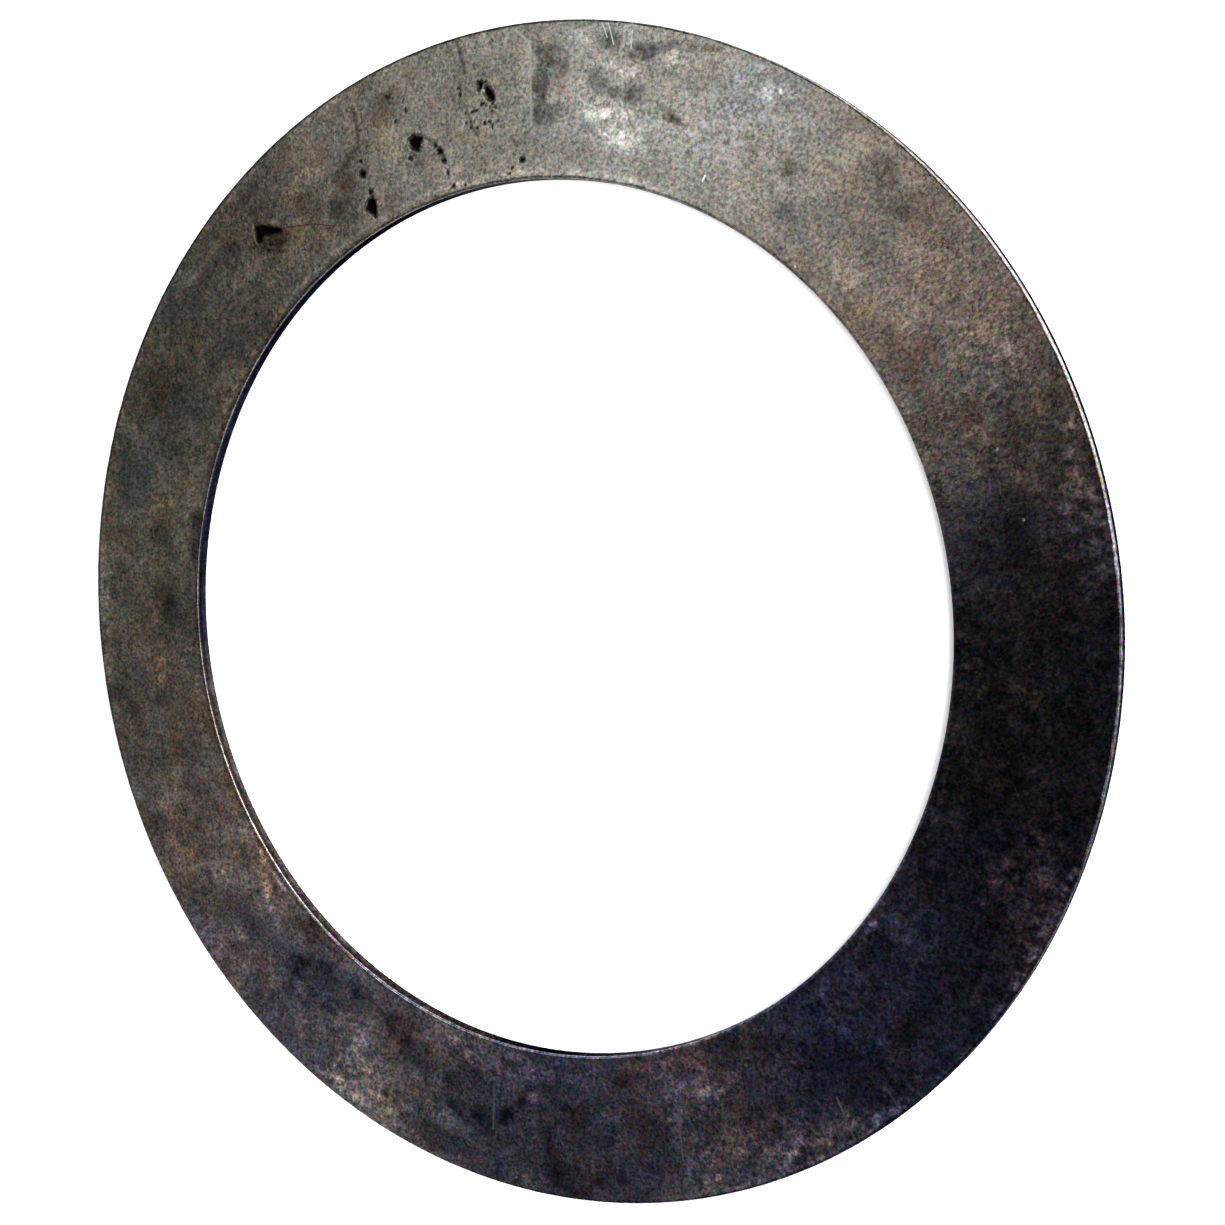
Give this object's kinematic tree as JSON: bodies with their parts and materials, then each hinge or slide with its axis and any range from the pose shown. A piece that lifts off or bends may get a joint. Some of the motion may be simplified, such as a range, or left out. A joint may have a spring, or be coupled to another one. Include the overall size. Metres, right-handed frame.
{
  "type": "flat washer",
  "caption": "Thin flat ring washer of plain dark steel with a large plain bore, narrow rim and lightly rounded edges.",
  "frame": {"origin": "centre of the lower bearing face, on the bore's axis", "axes": "+Z along the bore's axis, out of the upper bearing face; X and Y lie in the lower face"},
  "size_m": [0.102, 0.102, 0.0012],
  "materials": {
    "dark_steel": null
  },
  "bodies": {
    "root": {"flat_washer": "dark_steel"}
  },
  "joints": []
}
